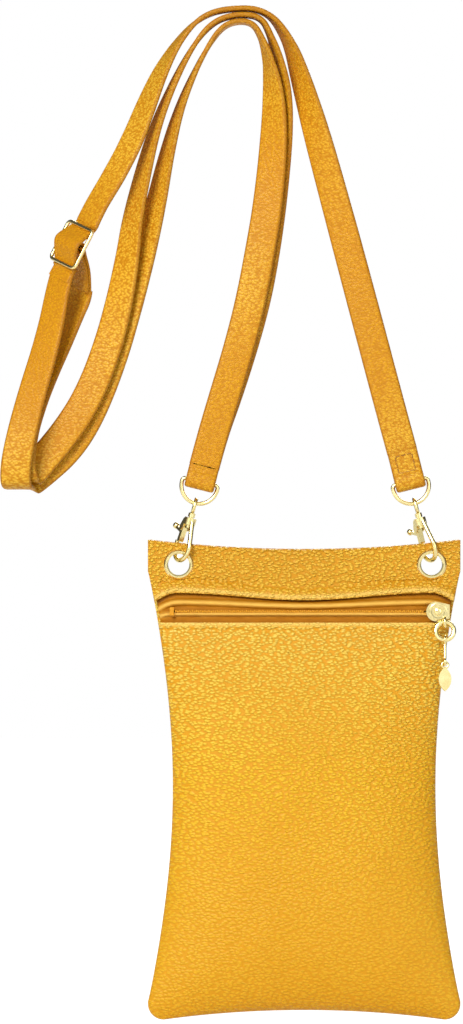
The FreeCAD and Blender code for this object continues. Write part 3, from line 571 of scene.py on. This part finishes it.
# Pouch: two panels of pebbled leather sewn face to face round three sides, full as if a phone were inside.
# The zip parts the front into a top band and a lower panel. The sides draw in and the edges sag.
pouch_leather = grained_leather("pouch_leather", grain=0.0013, panel=True, pale=(0.81, 0.53, 0.020, 1),
                                body=(0.74, 0.42, 0.004, 1), deep=(0.62, 0.27, 0.001, 1),
                                relief=1.0, rough=0.34, painted_highlight=0.42)
# The band's leather is the pouch's leather made darker: painted shade on the band.
shaded_band_leather = grained_leather("shaded_band_leather", grain=0.0013, panel=True, pale=(0.76, 0.43, 0.010, 1),
                               body=(0.68, 0.34, 0.003, 1), deep=(0.55, 0.235, 0.001, 1),
                               relief=1.0, rough=0.34, painted_highlight=0.12)
pouch_height = 0.185
pouch_centre_x = 0.0232
pouch_top = -0.1992
half_width = 0.0603
waist_top = 0.012
waist_length = 0.166
waist_depth = 0.0096
corner_radius = 0.006
belly_top = 0.016
belly_scale = 0.033163
belly_square = 2.6
hem_square = 5.4
hem_square_drop = 0.020
hem_square_spread = 0.035
top_sag = 0.0039
sag_reach = 0.020
foot_rise = 0.0037
foot_reach = 0.085
leather_thick = 0.0015
wall_clearance = 0.0001
crisp_angle = math.radians(50)


def pouch_half_width(drop):
    """Half the pouch's width at a drop below its top: drawn in at the waist, round at the bottom corners."""
    width = half_width
    share = (drop - waist_top) / waist_length
    if 0 < share < 1:
        width -= waist_depth * math.sin(math.pi * share) ** 0.9
    height = pouch_height - drop
    if height < corner_radius:
        width -= corner_radius - math.sqrt(max(0, corner_radius ** 2 - (corner_radius - height) ** 2))
    return width


def pouch_belly(across, drop):
    """How far the pouch swells out of its seams' plane: squarer near the hems and rounder further down.

    across goes from -1 to 1 between the side seams.
    """
    share = (drop - belly_top) / (pouch_height - belly_top)
    if share <= 0 or share >= 1:
        return 0.0
    swell = belly_scale * share ** 0.95 * math.sqrt(1 - share)
    square = belly_square + hem_square * math.exp(-((drop - hem_square_drop) / hem_square_spread) ** 2)
    return swell * max(0.0, 1 - abs(across) ** square) ** 0.62


def pouch_place(across, drop, proud):
    """A place on the pouch's front. proud is how far it stands off the seams' plane, apart from the belly."""
    arch = 1 - across ** 2
    low = foot_rise * arch * max(0.0, 1 - (pouch_height - drop) / foot_reach) ** 2
    high = top_sag * arch * max(0.0, 1 - drop / sag_reach) ** 2
    x = pouch_centre_x + across * pouch_half_width(drop)
    z = pouch_top - drop - high + low
    return Vector((x, -proud - pouch_belly(across, drop), z))


def on_the_back(place):
    """The place on the pouch's back that lies behind a place on its front, seen from behind."""
    return Vector((2 * pouch_centre_x - place.x, -place.y, place.z))


def eased_drop(top, foot, y):
    """The drop for a sheet's own height y, from 1 at its top to -1 at its foot, with closer rows at both."""
    return top + (foot - top) * (1 - math.cos(math.pi * (1 - y) / 2)) / 2


band_hem = 0.0232
panel_hem = 0.0318
hump_across = 0.85
hump_lift = 0.0028
end_curl = 0.0036


def hem_lift(across):
    """How far the band's hem rises from its middle: two humps near the sides and curled-down ends."""
    share = abs(across) / hump_across
    lift = hump_lift * math.sin(math.pi / 2 * min(1.0, share)) ** 2
    if share > 1:
        lift -= end_curl * ((abs(across) - hump_across) / (1 - hump_across)) ** 1.5
    return lift


def flat_sheet(name, columns, rows):
    """A flat grid from -1 to 1 both ways, ready to be laid on the pouch."""
    bpy.ops.object.select_all(action="DESELECT")
    bpy.ops.mesh.primitive_grid_add(x_subdivisions=columns, y_subdivisions=rows, size=2)
    sheet = bpy.context.object
    sheet.name = name
    return sheet


def give_wall(sheet, thickness):
    """Make a laid sheet as thick as its cloth or leather, inwards."""
    wall = sheet.modifiers.new("wall", "SOLIDIFY")
    wall.thickness = thickness
    wall.offset = -1
    bpy.ops.object.modifier_apply(modifier="wall")


def dent(place, across_rate, up_rate, seed):
    """Smooth noise from -1 to 1 over the pouch. A higher rate makes smaller dents."""
    return noise.noise(Vector((place.x * across_rate, place.z * up_rate, seed)))


seam_from = 0.985
seam_dip = 0.0005
soft_depth = 0.0005
soft_belly = 0.004
calm_reach = 0.015
# How strong and how wide the painted highlight along each hem's crest is.
hem_highlight_share = 0.7
hem_highlight_spread = 0.0008
stitch_sink = 0.0006
stitch_spread = 0.0007
top_roll = 0.0005
top_roll_reach = 0.004


def pouch_panel(name, top, bottom, columns, rows, side):
    """One leather panel as a shaped sheet with its thickness inwards. side is 1 in front and -1 behind."""
    piece = flat_sheet(name, columns, rows)
    band = bottom == band_hem
    hem_rise, hem_depth, hem_crest = (0.0009, 0.0048, 0.0012) if band else (0.0001, 0.0026, 0.0005)
    hem_highlights = []
    for vert in piece.data.vertices:
        across = math.sin(vert.co.x * math.pi / 2)
        foot = bottom - hem_lift(across) if band else bottom
        drop = eased_drop(top, foot, vert.co.y)
        seam = max(0.0, (abs(across) - seam_from) / (1 - seam_from))
        place = pouch_place(across, drop, leather_thick - seam_dip * seam ** 2)
        soft = dent(place, 38, 30, 3.0 * side) + 0.5 * dent(place, 90, 70, 7.0 * side)
        calm = min(1.0, max(0.0, drop - panel_hem) / calm_reach) if side > 0 else 1.0
        place.y -= soft_depth * soft * calm * min(1.0, pouch_belly(across, drop) / soft_belly)
        if side > 0:
            from_hem = abs(drop - (foot if band else top))
            # A painted highlight along the hem's rolled crest, kept in the hem share.
            hem_highlights.append(hem_highlight_share * math.exp(-((from_hem - hem_crest) / hem_highlight_spread) ** 2))
            share = from_hem / hem_depth
            if share < 1:
                pucker = 1 + 0.3 * dent(place, 420, 0, 5.0)
                place.y -= hem_rise * pucker * math.sin(math.pi * share ** 0.7)
            place.y += stitch_sink * math.exp(-((share - 1.1) * hem_depth / stitch_spread) ** 2)
            place.y -= top_roll * max(0.0, 1 - drop / top_roll_reach) ** 2
        else:
            place = on_the_back(place)
        vert.co = place
    if hem_highlights:
        piece.data.attributes.new("hem", "FLOAT", "POINT").data.foreach_set("value", hem_highlights)
    give_wall(piece, leather_thick - wall_clearance)
    return piece


def pick_alone(piece):
    """Make one piece the only one that is selected, and the active one."""
    bpy.ops.object.select_all(action="DESELECT")
    bpy.context.view_layer.objects.active = piece
    piece.select_set(True)


eyelet_places = (-0.0252, 0.0724)
eyelet_z = -0.2086
eyelet_hole = 0.00465
punch_length = 0.02


def punch_eyelets(piece):
    """Round holes through the leather for the two eyelets."""
    for x in eyelet_places:
        bpy.ops.object.select_all(action="DESELECT")
        bpy.ops.mesh.primitive_cylinder_add(vertices=48, radius=eyelet_hole, depth=punch_length,
                                            location=(x, 0, eyelet_z), rotation=(math.pi / 2, 0, 0))
        punch = bpy.context.object
        hole = piece.modifiers.new("hole", "BOOLEAN")
        hole.object = punch
        hole.operation = "DIFFERENCE"
        hole.solver = "EXACT"
        pick_alone(piece)
        bpy.ops.object.modifier_apply(modifier="hole")
        bpy.data.objects.remove(punch)


def finish_panel(piece, leather, replaced):
    """Round the panel's cut edges, give it its leather and hang it on the pouch."""
    pick_alone(piece)
    soften = piece.modifiers.new("turned_edge", "BEVEL")
    soften.width = 0.0005
    soften.segments = 3
    soften.limit_method = "ANGLE"
    soften.angle_limit = crisp_angle
    bpy.ops.object.modifier_apply(modifier="turned_edge")
    bpy.ops.object.shade_smooth_by_angle(angle=crisp_angle)
    piece.data.materials.append(leather)
    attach(piece, "pouch")
    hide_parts(replaced)


top_band = pouch_panel("top_band_leather", 0.0, band_hem, 120, 30, 1)
punch_eyelets(top_band)
finish_panel(top_band, shaded_band_leather, "top_band")
front_panel = pouch_panel("front_panel_leather", panel_hem, pouch_height, 120, 110, 1)
finish_panel(front_panel, pouch_leather, "front_panel")
back_panel = pouch_panel("back_panel_leather", 0.0, pouch_height, 120, 130, -1)
punch_eyelets(back_panel)
finish_panel(back_panel, pouch_leather, "back_panel")

# Linings: thin woven cloth, a little narrower than the pouch, laid against the inside of the leather.
# They make the pocket, and are seen only through the open zip.
lining_thick = 0.00025
lining_inset = 0.0028
lining_foot = pouch_height - 0.003
lining_clearance = 0.0002
least_opening = 0.00005
cloth_dark = (0.60, 0.27, 0.02, 1)
cloth_light = (0.80, 0.41, 0.05, 1)
cloth, tree, shader, coords = new_finish("woven_lining")
weave = tree.nodes.new("ShaderNodeTexWave")
weave.bands_direction = "X"
weave.inputs["Scale"].default_value = 700.0
weave.inputs["Distortion"].default_value = 1.5
tree.links.new(coords, weave.inputs["Vector"])
cloth_colour = colour_run(tree, weave.outputs["Color"], (0.0, cloth_dark), (1.0, cloth_light))
tree.links.new(cloth_colour, shader.inputs["Base Color"])
shader.inputs["Roughness"].default_value = 0.75
shader.inputs["Sheen Weight"].default_value = 0.2
for name, top, side in (("front_lining", 0.0355, 1), ("back_lining", 0.0192, -1)):
    piece = flat_sheet(name + "_cloth", 60, 60)
    for vert in piece.data.vertices:
        across = math.sin(vert.co.x * math.pi / 2)
        drop = eased_drop(top, lining_foot, vert.co.y)
        place = pouch_place(across, drop, 0)
        place.x = pouch_centre_x + (place.x - pouch_centre_x) * (1 - lining_inset / pouch_half_width(drop))
        place.y = min(-least_opening, place.y + lining_clearance)
        vert.co = place if side > 0 else on_the_back(place)
    give_wall(piece, lining_thick)
    bpy.ops.object.shade_smooth_by_angle(angle=crisp_angle)
    piece.data.materials.append(cloth)
    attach(piece, "pouch")
    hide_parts(name)

# Zip tapes: two cloth tapes sewn behind the hems, each rolled forward between its hem and the teeth.
# They carry a painted highlight on each roll and painted shade in the creases and under the band's hem, and
# fold towards their hems as the zip opens.
zip_drop = 0.0275
zip_z = pouch_top - zip_drop
hem_reach = 0.0066
tape_thick = 0.00035
tape_inset = 0.0012
tape_start = 0.0002
tape_sink = 0.0003
tape_ripple = 0.00012
tape_end = 0.9
end_overlap = 0.0008
end_lift = 0.0007
end_lap = 0.0001
end_droop = 0.0009
roll_height = 0.0015
roll_belly = 0.0018
crest_spread = 0.0008
shadow_spread = 0.0007
tape_painted_highlight = (0.74, 0.42, 0.075, 1)
tape_body = (0.40, 0.145, 0.002, 1)
tape_painted_shade = (0.10, 0.022, 0.001, 1)
tape, tree, shader, coords = new_finish("zip_tape")
ribs = tree.nodes.new("ShaderNodeMapping")
ribs.inputs["Scale"].default_value = (0.25, 1, 1.6)
tree.links.new(coords, ribs.inputs["Vector"])
rib = cloud(tree, ribs.outputs["Vector"], 900.0).outputs["Fac"]
# Tape colour: painted highlight on each roll's crest, painted shade in the creases and painted shadow under
# the band's hem.
depth = reckon(tree, "MULTIPLY_ADD", rib, 0.25, own_share(tree, "painted_shade"))
tape_colour = colour_run(tree, depth, (0.12, tape_painted_highlight), (0.6, tape_body), (1.0, tape_painted_shade))
tree.links.new(tape_colour, shader.inputs["Base Color"])
shader.inputs["Roughness"].default_value = 0.6
shader.inputs["Specular IOR Level"].default_value = 0.12
for name, side, reach, roll_width, roll_crest in (("zip_tape_upper", -1, 0.0086, 0.0030, 0.0022),
                                                  ("zip_tape_lower", 1, 0.0062, 0.0018, 0.0010)):
    piece = flat_sheet(name + "_cloth", 160, 40)
    painted_shades = []
    for vert in piece.data.vertices:
        across = vert.co.x
        share = (1 - side * vert.co.y) / 2
        end_share = max(0.0, (abs(across) - tape_end) / (1 - tape_end))
        offset = tape_start + reach * share - end_overlap * min(1.0, 3 * end_share) * (1 - share)
        drop = zip_drop + side * offset
        place = pouch_place(across, drop, 0)
        place.x = pouch_centre_x + across * (pouch_half_width(drop) - tape_inset)
        crest = roll_crest + 0.5 * hem_lift(across) if side < 0 else roll_crest
        # Painted shade away from the roll's crest, and a painted shadow under the band's hem on the upper
        # tape.
        painted_shade = 0.5 - 0.5 * math.exp(-((offset - crest) / crest_spread) ** 2)
        if side < 0:
            gap = max(0.0, zip_drop - band_hem + hem_lift(across) - offset)
            shadow = 1 - 0.6 * min(1.0, abs(across) / 0.7)
            painted_shade += 0.5 * math.exp(-(gap / shadow_spread) ** 2) * shadow
        painted_shades.append(painted_shade)
        ridge = 0.5 + (offset - crest) / roll_width
        roll = math.sin(math.pi * ridge) ** 0.8 if 0 < ridge < 1 else 0.0
        belly = pouch_belly(across, zip_drop)
        hold = min(1.0, offset / hem_reach)
        place.y = (-belly - tape_start) * (1 - hold) + (place.y + tape_sink) * hold
        place.y -= roll_height * roll * min(1.0, belly / roll_belly)
        place.y -= tape_ripple * dent(place, 260, 500, side)
        place.y -= (end_lift + end_lap * side) * end_share
        place.z -= end_droop * end_share ** 2
        vert.co = place
    piece.data.attributes.new("painted_shade", "FLOAT", "POINT").data.foreach_set("value", painted_shades)
    give_wall(piece, tape_thick)
    bpy.ops.object.shade_smooth_by_angle(angle=math.radians(60))
    piece.data.materials.append(tape)
    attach(piece, "pouch")
    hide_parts(name)
    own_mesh(piece)

# Zip teeth: a moulded coil along the inner edge of each tape, in a colour close to the tape's.
# The two rows mesh on the zip's line behind the slider, and one moulded stop closes their end.
tooth_width = 0.0007
tooth_depth = 0.0007
tooth_height = 0.0009
tooth_edge = 0.0002
tooth_pitch = 0.0016
teeth_y = -0.00333
row_shift = 0.0001
row_margin = 0.001
coil_dark = (0.52, 0.20, 0.006, 1)
coil_light = (0.74, 0.34, 0.014, 1)
coil = speckled_finish("moulded_coil", 1200.0, coil_dark, coil_light, rough=0.42, sheen=0.25)
for name, side, lead in (("zip_teeth_upper", 1, 0.0002), ("zip_teeth_lower", -1, 0.0010)):
    low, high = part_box(name)
    bpy.ops.object.select_all(action="DESELECT")
    bpy.ops.mesh.primitive_cube_add(size=1)
    piece = bpy.context.object
    piece.name = name + "_coil"
    tooth_x = low.x + lead + tooth_width / 2
    tooth_z = zip_z + side * row_shift
    for vert in piece.data.vertices:
        vert.co = (tooth_x + vert.co.x * tooth_width, teeth_y + vert.co.y * tooth_depth,
                   tooth_z + vert.co.z * tooth_height)
    bpy.ops.object.mode_set(mode="EDIT")
    bpy.ops.mesh.select_all(action="SELECT")
    bpy.ops.mesh.bevel(offset=tooth_edge, segments=2)
    bpy.ops.object.mode_set(mode="OBJECT")
    row = piece.modifiers.new("row", "ARRAY")
    row.use_relative_offset = False
    row.use_constant_offset = True
    row.constant_offset_displace = (tooth_pitch, 0, 0)
    row.count = int((high.x - low.x - row_margin) / tooth_pitch)
    bpy.ops.object.modifier_apply(modifier="row")
    bpy.ops.object.shade_smooth_by_angle(angle=crisp_angle)
    piece.data.materials.append(coil)
    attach(piece, "pouch")
    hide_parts(name)
    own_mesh(piece)
dress(["zip_end_stop"], coil)

# Stage: a plain white floor just under the pouch's bottom corners and a white studio round it.
# In reflections the studio is bright only in front, so that the plating keeps its form.
floor_z = -0.3852
bpy.ops.object.select_all(action="DESELECT")
bpy.ops.mesh.primitive_plane_add(size=6, location=(0, 0, floor_z))
floor = bpy.context.object
floor.name = "floor"
paper = bpy.data.materials.new("white_paper")
paper.use_nodes = True
tree = paper.node_tree
shader = tree.nodes["Principled BSDF"]
shader.inputs["Base Color"].default_value = (0.9, 0.9, 0.9, 1)
shader.inputs["Roughness"].default_value = 0.9
rays = tree.nodes.new("ShaderNodeLightPath")
white = tree.nodes.new("ShaderNodeEmission")
white.inputs["Strength"].default_value = 1.4
whitened = tree.nodes.new("ShaderNodeMixShader")
tree.links.new(reckon(tree, "MULTIPLY", rays.outputs["Is Camera Ray"], 0.75), whitened.inputs["Fac"])
tree.links.new(shader.outputs["BSDF"], whitened.inputs[1])
tree.links.new(white.outputs["Emission"], whitened.inputs[2])
tree.links.new(whitened.outputs["Shader"], tree.nodes["Material Output"].inputs["Surface"])
floor.data.materials.append(paper)
floor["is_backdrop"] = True

world = bpy.data.worlds.new("studio")
bpy.context.scene.world = world
world.use_nodes = True
tree = world.node_tree
sky = tree.nodes["Background"]
sky.inputs["Color"].default_value = (1, 1, 1, 1)
rays = tree.nodes.new("ShaderNodeLightPath")
outwards = tree.nodes.new("ShaderNodeTexCoord").outputs["Generated"]
sky_level = tree.nodes.new("ShaderNodeMix")
tree.links.new(rays.outputs["Is Glossy Ray"], sky_level.inputs["Factor"])
tree.links.new(between(tree, rays.outputs["Is Camera Ray"], 0.0, 1.0, 0.3, 1.0), sky_level.inputs["A"])
tree.links.new(between(tree, one_way(tree, outwards, "Y"), -0.1, -0.8, 0.08, 1.0, "SMOOTHSTEP"),
               sky_level.inputs["B"])
tree.links.new(sky_level.outputs["Result"], sky.inputs["Strength"])

# Lamps: three soft boxes, a main one from the upper left in front, a weak one from the right
# and one from behind that lights the back.
lamp_aim = Vector((0, 0, -0.2))
for name, place, size, power in (("key_light", (-0.55, -1.25, 0.55), 0.6, 23),
                                 ("fill_light", (0.9, -1.2, 0.0), 1.0, 4),
                                 ("rim_light", (0.4, 1.3, 0.5), 0.9, 14)):
    lamp = bpy.data.lights.new(name, "AREA")
    lamp.size = size
    lamp.energy = power
    stand = bpy.data.objects.new(name, lamp)
    stand.location = place
    stand.rotation_euler = (lamp_aim - Vector(place)).to_track_quat("-Z", "Y").to_euler()
    bpy.context.scene.collection.objects.link(stand)
bpy.context.scene.view_settings.view_transform = "Standard"

low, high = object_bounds()
